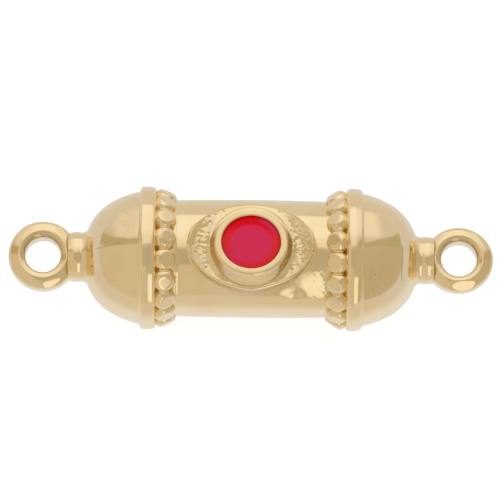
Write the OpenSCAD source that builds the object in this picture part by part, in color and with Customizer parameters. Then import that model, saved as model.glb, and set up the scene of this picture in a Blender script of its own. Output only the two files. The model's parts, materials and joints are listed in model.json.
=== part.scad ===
// Two-loop connector link in the shape of a small tube: domed ends with a raised band and a
// row of beads, a loop at each end, and an oval bezel with a red inlay on an eye-shaped plate.
// +X runs along the tube and +Z points out of the bezel. The link lies on its two bands, each of
// which has a small flat at z = 0.

/* [Overall] */
// Length over both loops
overall_len = 34; // [33:0.5:40]
// Outer diameter of the two bands, the widest part
band_d = 10; // [9.9:0.05:11]
// Depth of the flat that each band rests on
rest_flat = 0.15; // [0.05:0.01:0.3]

/* [Tube] */
// Diameter of the tube between the two rows of beads
tube_d = 8.2; // [7.9:0.02:8.4]
// Diameter of the sphere that each domed end is half of
dome_d = 9.3; // [9:0.05:9.4]
// Width of the half-round band round each end
band_w = 1.24; // [1:0.04:1.4]

/* [Bead rows] */
// Number of beads in each row
bead_count = 18; // [16:1:20]
// Diameter of a bead before its top is polished flat
bead_d = 1.76; // [1.7:0.01:1.8]
// Height of a bead's flat top over its middle
bead_top = 0.66; // [0.6:0.01:0.72]
// Lean of the flat tops towards the middle of the tube, in degrees
bead_lean = 26; // [20:1:30]
// Turn of the left row about the tube, in degrees
left_bead_turn = 14; // [0:1:20]
// Turn of the right row about the tube, in degrees
right_bead_turn = 15.6; // [0:0.2:20]

/* [Loops] */
// Outer diameter of each loop
loop_d = 4.9; // [4.4:0.05:5.2]
// Diameter of the hole in each loop
loop_hole_d = 2.52; // [2:0.02:2.8]
// Thickness of each loop along its hole
loop_t = 1.8; // [1.6:0.05:2.2]
// Diameter of the short neck between a dome and its loop
neck_d = 3.42; // [3:0.02:3.6]

/* [Eye plate] */
// Length of the eye-shaped plate along the tube
plate_l = 8.76; // [8.2:0.02:9]
// Width of the plate across the tube, seen from above
plate_w = 6.16; // [6:0.02:6.4]
// Height of the plate over the top of the tube
plate_rise = 0.06; // [0.03:0.01:0.15]
// Radius of the plate's arch across the tube, which is flatter than the tube
plate_arch = 12; // [10:0.5:16]
// Height of the plate's border line and of the lip round the bezel over the plate
border_rise = 0.08; // [0.04:0.01:0.12]

/* [Bezel and inlay] */
// Length of the bezel's flat rim along the tube
rim_l = 5.08; // [5:0.02:5.2]
// Width of the bezel's flat rim across the tube
rim_w = 4.5; // [4.4:0.02:4.6]
// Length of the opening inside the rim
opening_l = 4.1; // [3.8:0.02:4.2]
// Width of the opening inside the rim
opening_w = 3.78; // [3.6:0.02:3.86]
// Height of the rim over the tube
rim_rise = 0.74; // [0.62:0.01:0.84]
// Depth of the inlay's flat face below the rim
inlay_sink = 0.32; // [0.2:0.01:0.5]

/* [Hidden] */

$fn = 96;
clearance = 0.02;
overlap = 0.4;

// Cosine and sine of the angle at which the arcs of an oval join, from a 3-4-5 triangle
join_cos = 0.6;
join_sin = 0.8;

band_r = band_d / 2;
axis_z = band_r - rest_flat;
tube_r = tube_d / 2;
band_tube_r = band_w / 2;
band_ring_r = band_r - band_tube_r;
dome_r = dome_d / 2;

loop_r = loop_d / 2;
loop_hole_r = loop_hole_d / 2;
loop_x = overall_len / 2 - loop_r;
loop_corner_r = 0.42;
neck_r = neck_d / 2;
neck_edge_r = 0.28;
neck_l = 1.15;
neck_to_hole = 1.8;
neck_end_x = loop_x - neck_to_hole;
neck_start_x = neck_end_x - neck_l;
band_x = neck_start_x - sqrt(dome_r * dome_r - neck_r * neck_r);

bead_r = bead_d / 2;
bead_sink = 0.05;
bead_ring_r = tube_r - bead_sink;
bead_to_band = 1.19;
bead_x = band_x - bead_to_band;

plate_z = tube_r + plate_rise;
border_z = plate_z + border_rise;
border_w = 0.26;

rim_z = tube_r + rim_rise;
boss_wall = 1;
boss_bottom_z = 2.2;
foot_flare = 0.6;
knee_flare = 0.3;
knee_drop = 0.4;
rim_edge = 0.05;
rim_bevel_w = 0.1;
rim_bevel_h = 0.15;
lip_r = 2.97;
recess_depth = 1.6;
recess_floor_z = rim_z - recess_depth;

inlay_a = opening_l / 2 - clearance;
inlay_b = opening_w / 2 - clearance;
inlay_floor_z = recess_floor_z + clearance;
inlay_top_z = rim_z - inlay_sink;
inlay_wall = 1;
inlay_edge_w = 0.6;
inlay_edge_drop = 0.26;
inlay_edge_steps = 6;
inlay_edge_r = (inlay_edge_w * inlay_edge_w + inlay_edge_drop * inlay_edge_drop) / (2 * inlay_edge_drop);

gold = [0.87, 0.76, 0.56];
red = [0.8, 0.06, 0.14];

// Turns a shape built round Z so that it runs along +X on the tube's axis
module along_tube(side = 1) {
    translate([0, 0, axis_z]) rotate([0, 90 * side, 0]) children();
}

// Both ends of the link, the right one and the left one
module at_both_ends() {
    for (side = [1, -1]) along_tube(side) children();
}

// Radii of a four-arc oval of half length a and half width b, whose arcs join on 3-4-5 slopes
function end_arc_r(a, b) = (3 * b - a) / 2;
function side_arc_r(a, b) = 2 * a - b;

// Lens where two discs of radius r overlap, their centres set apart by shift to each side
module lens(shift, r) {
    intersection() {
        translate([0, shift]) circle(r = r, $fn = 192);
        translate([0, -shift]) circle(r = r, $fn = 192);
    }
}

// Oval of half length a and half width b, whose round ends run smoothly into its long arcs
module oval(a, b) {
    end_r = end_arc_r(a, b);
    end_x = a - end_r;
    join_x = end_x + join_cos * end_r;
    for (end = [1, -1]) translate([end * end_x, 0]) circle(r = end_r);
    intersection() {
        lens(2 * (a - b), side_arc_r(a, b));
        translate([-join_x, -b]) square([2 * join_x, 2 * b]);
    }
}

// Wedge with its point at the origin and its sides through the corners [x1, y1] and [x2, y2]
module wedge(corner_1, corner_2, reach) {
    linear_extrude(height = 2 * reach, center = true)
        polygon([[0, 0], reach * corner_1, reach * corner_2]);
}

// Wall swept along an oval: the children are its section, drawn as outward offset and height
module oval_sweep(a, b) {
    reach = 3 * a;
    for (turn = [0, 180]) rotate(turn) {
        translate([a - end_arc_r(a, b), 0, 0]) intersection() {
            rotate_extrude() translate([end_arc_r(a, b), 0]) children();
            wedge([join_cos, -join_sin], [join_cos, join_sin], reach);
        }
        translate([0, -2 * (a - b), 0]) intersection() {
            rotate_extrude() translate([side_arc_r(a, b), 0]) children();
            wedge([join_cos, join_sin], [-join_cos, join_sin], reach);
        }
    }
}

// Plain tube between the bands
module tube() {
    along_tube() cylinder(r = tube_r, h = 2 * band_x, center = true, $fn = 180);
}

// Half-round band
module band() {
    translate([0, 0, band_x]) rotate_extrude() translate([band_ring_r, 0]) circle(r = band_tube_r);
}

// Domed end, half of a sphere
module dome() {
    translate([0, 0, band_x]) rotate_extrude() intersection() {
        circle(r = dome_r);
        square([dome_r, dome_r]);
    }
}

// Short round neck with a soft edge where it meets the loop
module neck() {
    length = neck_l + overlap;
    translate([0, 0, neck_start_x - overlap]) rotate_extrude() {
        square([neck_r, length - neck_edge_r]);
        square([neck_r - neck_edge_r, length]);
        translate([neck_r - neck_edge_r, length - neck_edge_r]) circle(r = neck_edge_r);
    }
}

// Round bead with its top polished flat
module bead() {
    rotate_extrude($fn = 48) intersection() {
        circle(r = bead_r);
        translate([0, -bead_r]) square([bead_r, bead_r + bead_top]);
    }
}

// Row of beads whose flat tops lean towards the middle of the tube
module bead_row(turn) {
    for (i = [0 : bead_count - 1])
        rotate(turn + i * 360 / bead_count) translate([-bead_ring_r, 0, bead_x])
            rotate([0, bead_lean - 90, 0]) bead();
}

// Loop with a rounded section and a round hole
module loop() {
    wall = loop_r - loop_hole_r;
    flat_w = wall - 2 * loop_corner_r;
    flat_h = loop_t - 2 * loop_corner_r;
    translate([loop_x, 0, axis_z]) rotate_extrude() translate([loop_hole_r, 0]) {
        translate([loop_corner_r, -loop_t / 2]) square([flat_w, loop_t]);
        translate([0, -flat_h / 2]) square([wall, flat_h]);
        for (u = [loop_corner_r, wall - loop_corner_r], v = [-flat_h / 2, flat_h / 2])
            translate([u, v]) circle(r = loop_corner_r);
    }
}

// Upright shape with a top that is arched across the tube, top high over the tube's axis
module arched(top) {
    intersection() {
        translate([0, 0, top - plate_arch]) along_tube()
            cylinder(r = plate_arch, h = 2 * plate_l, center = true, $fn = 360);
        translate([0, 0, axis_z]) linear_extrude(height = band_r) children();
    }
}

// Eye-shaped plate with a thin raised border line, and a round lip under the bezel
module eye_plate() {
    a = plate_l / 2;
    b = plate_w / 2;
    arched(plate_z) oval(a, b);
    arched(border_z) {
        difference() {
            oval(a, b);
            oval(a - border_w, b - border_w);
        }
        circle(r = lip_r);
    }
}

// Oval bezel that flares out to its foot on the plate
module bezel() {
    a = rim_l / 2;
    b = rim_w / 2;
    core_inset = boss_wall / 2;
    translate([0, 0, axis_z]) {
        oval_sweep(a, b) polygon([
            [-boss_wall, boss_bottom_z],
            [foot_flare, boss_bottom_z],
            [knee_flare, rim_z - knee_drop],
            [rim_bevel_w, rim_z - rim_bevel_h],
            [0, rim_z - rim_edge],
            [-rim_edge, rim_z],
            [-boss_wall, rim_z]
        ]);
        translate([0, 0, boss_bottom_z]) linear_extrude(height = rim_z - boss_bottom_z)
            oval(a - core_inset, b - core_inset);
    }
}

// Recess that the inlay sits in
module recess() {
    translate([0, 0, axis_z + recess_floor_z]) linear_extrude(height = band_r)
        oval(opening_l / 2, opening_w / 2);
}

// All that is below the surface the link lies on
module below_rest() {
    translate([-overall_len, -band_d, -band_d]) cube([2 * overall_len, 2 * band_d, band_d]);
}

// The whole metal casting
module link_casting() {
    color(gold) difference() {
        union() {
            tube();
            at_both_ends() {
                band();
                dome();
                neck();
            }
            along_tube(1) bead_row(right_bead_turn);
            along_tube(-1) bead_row(-left_bead_turn);
            loop();
            mirror([1, 0, 0]) loop();
            eye_plate();
            bezel();
        }
        recess();
        below_rest();
    }
}

// Red inlay, flat on top with a rounded edge
module red_inlay() {
    core_inset = (inlay_wall + inlay_edge_w) / 2;
    color(red) translate([0, 0, axis_z]) {
        oval_sweep(inlay_a, inlay_b) inlay_section();
        translate([0, 0, inlay_floor_z]) linear_extrude(height = inlay_top_z - inlay_floor_z)
            oval(inlay_a - core_inset, inlay_b - core_inset);
    }
}

// Section of the inlay's outer part, with a rounded edge between its side and its flat top
module inlay_section() {
    full_turn = asin(inlay_edge_w / inlay_edge_r);
    edge = [for (i = [inlay_edge_steps : -1 : 0])
        let (turn = full_turn * i / inlay_edge_steps)
        [inlay_edge_r * sin(turn) - inlay_edge_w, inlay_top_z - inlay_edge_r * (1 - cos(turn))]];
    polygon(concat([[-inlay_wall, inlay_floor_z], [0, inlay_floor_z]], edge, [[-inlay_wall, inlay_top_z]]));
}

link_casting();
red_inlay();
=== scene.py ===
"""Two-loop connector link in the shape of a small tube, dressed for its studio picture."""

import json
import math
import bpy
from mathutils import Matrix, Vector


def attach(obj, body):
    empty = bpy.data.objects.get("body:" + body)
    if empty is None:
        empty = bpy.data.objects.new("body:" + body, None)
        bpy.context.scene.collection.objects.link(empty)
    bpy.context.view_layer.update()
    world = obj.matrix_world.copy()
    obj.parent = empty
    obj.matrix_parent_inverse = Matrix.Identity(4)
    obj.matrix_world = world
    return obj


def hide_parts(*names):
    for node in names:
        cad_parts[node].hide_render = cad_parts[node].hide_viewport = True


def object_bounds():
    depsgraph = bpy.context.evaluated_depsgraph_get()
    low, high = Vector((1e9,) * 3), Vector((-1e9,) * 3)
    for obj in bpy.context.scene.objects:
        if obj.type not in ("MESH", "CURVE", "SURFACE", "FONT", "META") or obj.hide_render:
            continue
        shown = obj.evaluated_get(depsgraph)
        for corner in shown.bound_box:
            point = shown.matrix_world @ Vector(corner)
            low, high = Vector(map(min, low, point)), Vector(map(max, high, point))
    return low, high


bl_info = {
    "name": "Connector link",
    "version": (1, 0, 0),
    "blender": (4, 5, 0),
    "location": "3D View > Sidebar > Link",
    "description": "Builds the cast link, its red inlay and the studio round the packed solids",
    "category": "Object",
}

import bpy
import numpy as np
from bpy.props import FloatProperty, FloatVectorProperty, IntProperty, PointerProperty
from bpy.types import Operator, Panel, PropertyGroup
from mathutils import Matrix, Vector

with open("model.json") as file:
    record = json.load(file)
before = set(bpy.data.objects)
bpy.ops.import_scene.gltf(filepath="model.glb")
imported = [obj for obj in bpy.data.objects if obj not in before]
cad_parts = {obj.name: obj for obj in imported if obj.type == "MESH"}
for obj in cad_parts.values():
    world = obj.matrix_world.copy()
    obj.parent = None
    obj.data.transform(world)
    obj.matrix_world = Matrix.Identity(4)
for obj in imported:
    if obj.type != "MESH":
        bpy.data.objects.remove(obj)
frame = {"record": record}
cad_low, cad_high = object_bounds()

MM = 0.001
BAND_RADIUS = (cad_high.y - cad_low.y) / 2
AXIS_HEIGHT = cad_high.z - BAND_RADIUS
LOOP_PLACE = max(mount["pos_m"][0] for mount in frame["record"]["mounts"])
CASTING = "link_casting"
INLAY = "red_inlay"


# Sizes and colours


def length(name, description, default):
    """A size in metres that shows in scene units."""
    return FloatProperty(
        name=name, description=description, default=default, min=0.0, precision=5,
        unit="LENGTH",
    )


def colour(name, description, default):
    """A colour in linear light."""
    return FloatVectorProperty(
        name=name, description=description, default=default, size=3, min=0.0, max=1.0,
        subtype="COLOR",
    )


class LinkSizes(PropertyGroup):
    """Sizes of the link's visible forms."""

    tube_radius: length("Tube radius", "Radius of the tube beside the bead rows", 0.00406)
    tube_crown: length("Tube crown", "How much the tube swells at its middle", 0.00007)
    plate_height: length("Plate height", "Height of the plate's field over the axis", 0.00408)
    plate_arch: length("Plate arch", "Radius of the plate's arch across the tube", 0.016)
    plate_border: length("Plate border", "Height of the border wire over the field", 0.000035)
    lip_radius: length("Lip radius", "Radius of the smooth lip round the bezel", 0.00291)
    rim_length: length("Rim length", "Outer length of the rim's flat along the tube", 0.00492)
    rim_width: length("Rim width", "Outer width of the rim's flat across the tube", 0.00437)
    rim_height: length("Rim height", "Height of the rim over the axis", 0.00484)
    opening_length: length("Opening length", "Length of the opening in the rim", 0.00406)
    opening_width: length("Opening width", "Width of the opening in the rim", 0.00370)
    opening_shift: length("Opening shift", "How far the opening lies to the rear", 0.00010)
    inlay_sink: length("Inlay sink", "Depth of the inlay's face below the rim", 0.00025)
    bead_count: IntProperty(
        name="Beads", description="Number of beads in each row", default=18, min=16, max=20
    )
    bead_radius: length("Bead radius", "Radius of a bead before its top is flattened", 0.00088)
    bead_row: length("Bead row", "Distance of each bead row from the middle", 0.00609)
    bead_ring: length("Bead ring", "Distance of the beads' centres from the axis", 0.00405)
    bead_top: length("Bead top", "Height of a bead's flat top over its centre", 0.000690)
    bead_lean: FloatProperty(
        name="Bead lean", description="Lean of the beads' flat tops towards the middle",
        default=math.radians(25.0), subtype="ANGLE",
    )
    band_place: length("Band place", "Distance of each band from the middle", 0.00721)
    band_half: length("Band half width", "Half the width of a band", 0.00060)
    band_rise: length("Band rise", "Height of a band's rounded section", 0.00046)
    neck_radius: length("Neck radius", "Radius of the short neck before a loop", 0.00169)
    loop_place: length("Loop place", "Distance of each loop's hole from the middle", LOOP_PLACE)
    hole_radius: length("Hole radius", "Radius of the hole in a loop", 0.00124)
    loop_thickness: length("Loop thickness", "Thickness of a loop along its hole", 0.00180)


class LinkFinish(PropertyGroup):
    """Colours and polish of the plating, and colours of the inlay."""

    plating: colour("Plating", "Mirror colour of the pale gold plating", (0.96, 0.77, 0.46))
    plating_warm: colour("Warm plating", "Slightly warmer gold in soft patches", (0.93, 0.72, 0.40))
    # This brown is tarnish in the pits, and painted shade between the beads, on walls and by the
    # loops' holes.
    tarnish: colour("Tarnish", "Brown in the pits and between the beads", (0.175, 0.108, 0.028))
    resin: colour("Resin", "Deep red of the inlay's edge at the rear", (0.560, 0.0012, 0.009))
    # The lighter red in front is painted light on the inlay's edge.
    resin_edge: colour("Resin edge", "Lighter red of its edge in front", (0.55, 0.034, 0.032))
    # The pinker red is a painted reflection of the light tent on the inlay's face.
    resin_veil: colour("Resin veil", "Pinker red of the inlay's face", (0.520, 0.022, 0.080))
    polish: FloatProperty(
        name="Roughness", description="Roughness of the polished plating", default=0.09,
        min=0.0, max=1.0, subtype="FACTOR",
    )


class StudioSettings(PropertyGroup):
    """Camera, floor and light."""

    elevation: FloatProperty(
        name="Camera elevation", description="Angle of the camera over the floor",
        default=math.radians(77.0), subtype="ANGLE",
    )
    roll: FloatProperty(
        name="Camera roll", description="Small turn of the camera about its view",
        default=math.radians(0.6), subtype="ANGLE",
    )
    distance: length("Camera distance", "Distance of the camera from the link", 0.360)
    view_width: length("View width", "Width of the picture at the link", 0.03503)
    lift: length("View lift", "How far the view's middle lies above the link's", 0.00062)
    aside: length("View aside", "How far the view's middle lies left of the link's", 0.000067)
    floor_shade: colour("Floor", "Part of the floor's white that takes shadows", (0.34, 0.34, 0.34))
    floor_glow: FloatProperty(
        name="Floor glow", description="Light that the lit table gives by itself",
        default=0.76, min=0.0,
    )
    fill: FloatProperty(
        name="Fill light", description="Strength of the soft light on the floor",
        default=1.6, min=0.0,
    )


def sizes():
    """The link's sizes in millimetres and its angles in radians, by name."""
    group = bpy.context.scene.link_sizes
    values = {name: getattr(group, name) for name in LinkSizes.__annotations__}
    for name in values:
        if name not in ("bead_count", "bead_lean"):
            values[name] /= MM
    return values


# Shape helpers, all in millimetres from the middle of the tube's axis


def smooth_step(low, high, value):
    """0 on low's side, 1 on high's side and a smooth slope between."""
    t = np.clip((value - low) / (high - low), 0.0, 1.0)
    return t * t * (3.0 - 2.0 * t)


def soft_min(a, b, blend):
    """The smaller of a and b, rounded over where they cross."""
    h = np.clip(0.5 + 0.5 * (b - a) / blend, 0.0, 1.0)
    return b * (1.0 - h) + a * h - blend * h * (1.0 - h)


def soft_max(a, b, blend):
    """The larger of a and b, filled in where they cross."""
    return -soft_min(-a, -b, blend)


def bump(distance, width):
    """Round bump of height 1 that fades out at about twice its width."""
    return np.exp(-((distance / width) ** 2))


def ripple(points, wavelength, seed):
    """Slow uneven swell of about -1 to 1, as hand polishing leaves on a casting."""
    rng = np.random.default_rng(seed)
    x, y, z = np.moveaxis(points, -1, 0)
    total = 0.0
    for _ in range(9):
        heading = rng.normal(size=3)
        heading *= rng.uniform(0.7, 1.4) / (np.linalg.norm(heading) * wavelength)
        wave = heading[0] * x + heading[1] * y + heading[2] * z
        total = total + np.sin(2.0 * math.pi * wave + rng.uniform(0.0, 2.0 * math.pi))
    return total / 4.5


def spread(*stops):
    """Rising values from (start, step) pairs, the last of which gives only the end."""
    values = []
    for (start, step), (end, _) in zip(stops, stops[1:]):
        count = max(1, round((end - start) / step))
        values.extend(start + (end - start) * i / count for i in range(count))
    values.append(stops[-1][0])
    return np.array(values)


def round_axis(x, radius, turns):
    """Rows of points at x and radius, turned about the tube's axis, with turn 0 at the top."""
    shape = np.broadcast_shapes(x.shape, radius.shape, turns.shape)
    return np.stack(
        [np.broadcast_to(x, shape), radius * np.sin(turns), radius * np.cos(turns)], axis=-1
    )


def full_turn(count):
    """Angles of count even steps round a circle."""
    return np.arange(count) * 2.0 * math.pi / count


def from_top(turns):
    """The same angles counted both ways from the top of the tube."""
    return (turns + math.pi) % (2.0 * math.pi) - math.pi


def grid_faces(rows, columns, closed_rows):
    """Quads between rows of points. Columns always close on themselves, rows if asked."""
    last = rows if closed_rows else rows - 1
    r, c = np.meshgrid(np.arange(last), np.arange(columns), indexing="ij")
    r2, c2 = (r + 1) % rows, (c + 1) % columns
    quad = [r * columns + c, r * columns + c2, r2 * columns + c2, r2 * columns + c]
    return np.stack(quad, axis=-1).reshape(-1, 4)


def outward(rings):
    """Rings of a mirrored piece in reverse order, so that its faces still look outward."""
    return rings[::-1]


def add_piece(name, rings, material, node, ends, marks=None):
    """Makes one closed mesh of rings of points and sets it on its body.

    ends is "joined" where the last ring meets the first, and "capped" where the first and
    last rings close on a point in their middle. marks gives each point's tarnish and painted
    shade, 0 to 1.
    What would lie below the ground is flattened to it, which makes the rests under the bands.
    """
    rows, columns, _ = rings.shape
    points = rings.reshape(-1, 3)
    faces = [tuple(f) for f in grid_faces(rows, columns, ends == "joined")]
    if ends == "capped":
        first, last = rings[0].mean(axis=0), rings[-1].mean(axis=0)
        points = np.vstack([points, first, last])
        start = (rows - 1) * columns
        for c in range(columns):
            d = (c + 1) % columns
            faces.append((d, c, rows * columns))
            faces.append((start + c, start + d, rows * columns + 1))
    world = points * MM + np.array([0.0, 0.0, AXIS_HEIGHT])
    ground = 0.0
    world[:, 2] = np.maximum(world[:, 2], ground)
    mesh = bpy.data.meshes.new(name)
    mesh.from_pydata(world.tolist(), [], faces)
    mesh.shade_smooth()
    tarnish = mesh.attributes.new("tarnish", "FLOAT", "POINT")
    if marks is not None:
        values = np.zeros(len(points), np.float32)
        values[: marks.size] = marks.ravel()
        tarnish.data.foreach_set("value", values)
    mesh.materials.append(material)
    mesh.validate()
    piece = bpy.data.objects.new(name, mesh)
    bpy.context.scene.collection.objects.link(piece)
    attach(piece, "root")
    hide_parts(node)
    return piece


# Materials


class NodePen:
    """Adds nodes to a tree and links them as it goes."""

    def __init__(self, tree):
        self.tree = tree

    def add(self, kind, settings=None, **inputs):
        """A new node with its settings, and a value or a link for each named input."""
        node = self.tree.nodes.new(kind)
        for name, value in (settings or {}).items():
            setattr(node, name, value)
        for name, value in inputs.items():
            self.feed(node.inputs[name.replace("_", " ")], value)
        return node

    def feed(self, socket, value):
        """Links another node's output to a socket, or sets the socket's own value."""
        if isinstance(value, bpy.types.NodeSocket):
            self.tree.links.new(value, socket)
        else:
            socket.default_value = value

    def math(self, operation, a, b=0.0, clamp=False):
        """The result of a sum or other working on one or two numbers."""
        node = self.add("ShaderNodeMath", {"operation": operation, "use_clamp": clamp})
        self.feed(node.inputs[0], a)
        self.feed(node.inputs[1], b)
        return node.outputs[0]

    def vector(self, operation, a, b=(0.0, 0.0, 0.0), output="Vector"):
        """The same for vectors. Some workings give a number, as the output "Value"."""
        node = self.add("ShaderNodeVectorMath", {"operation": operation})
        self.feed(node.inputs[0], a)
        self.feed(node.inputs[1], b)
        return node.outputs[output]

    def ramp(self, value, low, high, start=0.0, end=1.0):
        """A smooth change from start to end while the value goes from low to high."""
        node = self.add("ShaderNodeMapRange", {"interpolation_type": "SMOOTHSTEP"}, Value=value)
        for name, number in (
            ("From Min", low), ("From Max", high), ("To Min", start), ("To Max", end)
        ):
            self.feed(node.inputs[name], number)
        return node.outputs["Result"]

    def mix(self, factor, a, b):
        """Colour a where the factor is 0 and colour b where it is 1."""
        node = self.add("ShaderNodeMix", {"data_type": "RGBA"})
        first, second, result = 6, 7, 2
        self.feed(node.inputs["Factor"], factor)
        self.feed(node.inputs[first], a)
        self.feed(node.inputs[second], b)
        return node.outputs[result]

    def noise(self, place, scale, detail=2.0, roughness=0.5):
        """Cloudy noise of 0 to 1, finer for a larger scale."""
        return self.add(
            "ShaderNodeTexNoise", Vector=place, Scale=scale, Detail=detail, Roughness=roughness
        ).outputs["Fac"]


def opaque(rgb):
    """A colour with full alpha."""
    return (*rgb, 1.0)


def new_material(name):
    """An empty surface material: its pen, its object coordinates and its shader."""
    material = bpy.data.materials.new(name)
    material.use_nodes = True
    material.node_tree.nodes.clear()
    pen = NodePen(material.node_tree)
    shader = pen.add("ShaderNodeBsdfPrincipled")
    output = pen.add("ShaderNodeOutputMaterial")
    pen.feed(output.inputs["Surface"], shader.outputs["BSDF"])
    place = pen.add("ShaderNodeTexCoord").outputs["Object"]
    return material, pen, place, shader


def gold_plating():
    """Polished pale gold: soft warm patches, fine specks, and brown marks of tarnish and painted
    shade.
    """
    if "pale_gold_plating" in bpy.data.materials:
        return bpy.data.materials["pale_gold_plating"]
    finish = bpy.context.scene.link_finish
    material, pen, place, shader = new_material("pale_gold_plating")
    patches = pen.ramp(pen.noise(place, scale=420.0, detail=3.0), 0.35, 0.75)
    gold = pen.mix(patches, opaque(finish.plating), opaque(finish.plating_warm))
    # The marks hold tarnish in the pits and painted shade elsewhere, broken up by noise.
    tarnish = pen.add("ShaderNodeAttribute", {"attribute_name": "tarnish"}).outputs["Fac"]
    unevenness = pen.noise(place, scale=5200.0, detail=3.0)
    tarnish = pen.math("MULTIPLY", tarnish, pen.ramp(unevenness, 0.3, 0.6, 0.55, 1.0))
    cells = pen.add("ShaderNodeTexVoronoi", Vector=place, Scale=800.0)
    chosen = pen.add("ShaderNodeSeparateColor", Color=cells.outputs["Color"]).outputs["Red"]
    speck = pen.math(
        "MULTIPLY", pen.ramp(cells.outputs["Distance"], 0.045, 0.020), pen.ramp(chosen, 0.80, 0.84)
    )
    dirt_and_shade = pen.math("MAXIMUM", tarnish, pen.math("MULTIPLY", speck, 0.7))
    pen.feed(shader.inputs["Base Color"], pen.mix(dirt_and_shade, gold, opaque(finish.tarnish)))
    shader.inputs["Metallic"].default_value = 1.0
    smooth, worn = finish.polish * 0.7, finish.polish * 1.3
    wear = pen.ramp(pen.noise(place, scale=1500.0, detail=4.0), 0.3, 0.7, smooth, worn)
    # The marks, painted shade among them, also make the plating rougher.
    shade_and_dulling = pen.math("MULTIPLY", dirt_and_shade, 0.3)
    pen.feed(shader.inputs["Roughness"], pen.math("ADD", shade_and_dulling, wear, clamp=True))
    swell = pen.add("ShaderNodeBump", Distance=6.0e-6, Height=pen.noise(place, scale=900.0))
    marks = pen.vector("MULTIPLY", place, (1.0, 7.0, 7.0))
    scratches = pen.noise(marks, scale=3200.0, detail=4.0, roughness=0.6)
    fine = pen.add(
        "ShaderNodeBump", Distance=6.0e-7, Height=scratches, Normal=swell.outputs["Normal"]
    )
    pen.feed(shader.inputs["Normal"], fine.outputs["Normal"])
    return material


# Share of the inlay's half width at which the painted reflection on its pink face starts and is
# full
REFLECTION_EDGE, REFLECTION_FULL = 0.80, 0.66


def red_resin():
    """Smooth deep red, with a painted reflection that makes it pinker on its flat face and in two
    crescents by the bezel's wall, and painted light that lightens its edge in front.
    """
    finish = bpy.context.scene.link_finish
    size = bpy.context.scene.link_sizes
    material, pen, place, shader = new_material("red_resin")
    centred = pen.vector("SUBTRACT", place, (0.0, size.opening_shift, 0.0))
    across = pen.vector(
        "MULTIPLY", centred, (2.0 / size.opening_length, 2.0 / size.opening_width, 0.0)
    )
    reach = pen.vector("LENGTH", across, output="Value")
    parts = pen.add("ShaderNodeSeparateXYZ", Vector=across)
    diagonal = pen.math("MULTIPLY", parts.outputs["X"], parts.outputs["Y"])
    crescent = pen.math(
        "MULTIPLY", pen.ramp(diagonal, 0.16, 0.40), pen.ramp(reach, 0.74, 0.90)
    )
    lowered = pen.vector("ADD", across, (0.0, 0.05, 0.0))
    face = pen.ramp(pen.vector("LENGTH", lowered, output="Value"), REFLECTION_EDGE, REFLECTION_FULL)
    # Painted light: the edge goes from the deep red at the rear to a lighter red in front
    painted_front_light = pen.ramp(parts.outputs["Y"], 0.75, 0.10, 0.0, 0.6)
    cloud = pen.ramp(pen.noise(place, scale=700.0, detail=3.0), 0.3, 0.75, 0.80, 1.0)
    # Painted reflection: pinker on the face and in two crescents by the bezel's wall, broken up by
    # noise
    painted_reflection = pen.math("MULTIPLY", pen.math("MAXIMUM", face, crescent), cloud)
    edge = pen.mix(painted_front_light, opaque(finish.resin), opaque(finish.resin_edge))
    red = pen.mix(painted_reflection, edge, opaque(finish.resin_veil))
    pen.feed(shader.inputs["Base Color"], red)
    wear = pen.ramp(pen.noise(place, scale=2400.0), 0.3, 0.7, 0.12, 0.2)
    pen.feed(shader.inputs["Roughness"], wear)
    shader.inputs["Specular IOR Level"].default_value = 0.06
    uneven = pen.noise(place, scale=1600.0, detail=3.0)
    bumps = pen.add("ShaderNodeBump", Distance=1.5e-6, Height=uneven)
    pen.feed(shader.inputs["Normal"], bumps.outputs["Normal"])
    return material


# Forms of the link


def tube_radius_at(x, size):
    """Radius of the slightly swollen tube."""
    return size["tube_radius"] + size["tube_crown"] * (1.0 - np.clip((x / 5.2) ** 2, 0.0, 1.0))


def oval_points(turns, half_length, half_width, shift=0.0):
    """Points of an oval in plan and their outward directions."""
    along, across = np.cos(turns), np.sin(turns)
    points = np.stack([half_length * along, half_width * across + shift], axis=-1)
    away = np.stack([along / half_length, across / half_width], axis=-1)
    return points, away / np.linalg.norm(away, axis=-1, keepdims=True)


# Outline of the eye-shaped plate from above, a row for each point from the top to the bottom:
# distance along the tube from the middle, and across it
PLATE_OUTLINE = (
    (0.00, 3.04), (1.00, 2.95), (1.85, 2.76), (2.60, 2.46), (3.20, 2.10), (3.72, 1.66),
    (4.04, 1.23), (4.22, 0.82), (4.32, 0.21), (4.27, -0.35), (4.01, -0.98), (3.52, -1.66),
    (2.90, -2.17), (2.40, -2.43), (1.82, -2.66), (1.10, -2.89), (0.00, -3.04),
)

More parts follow.
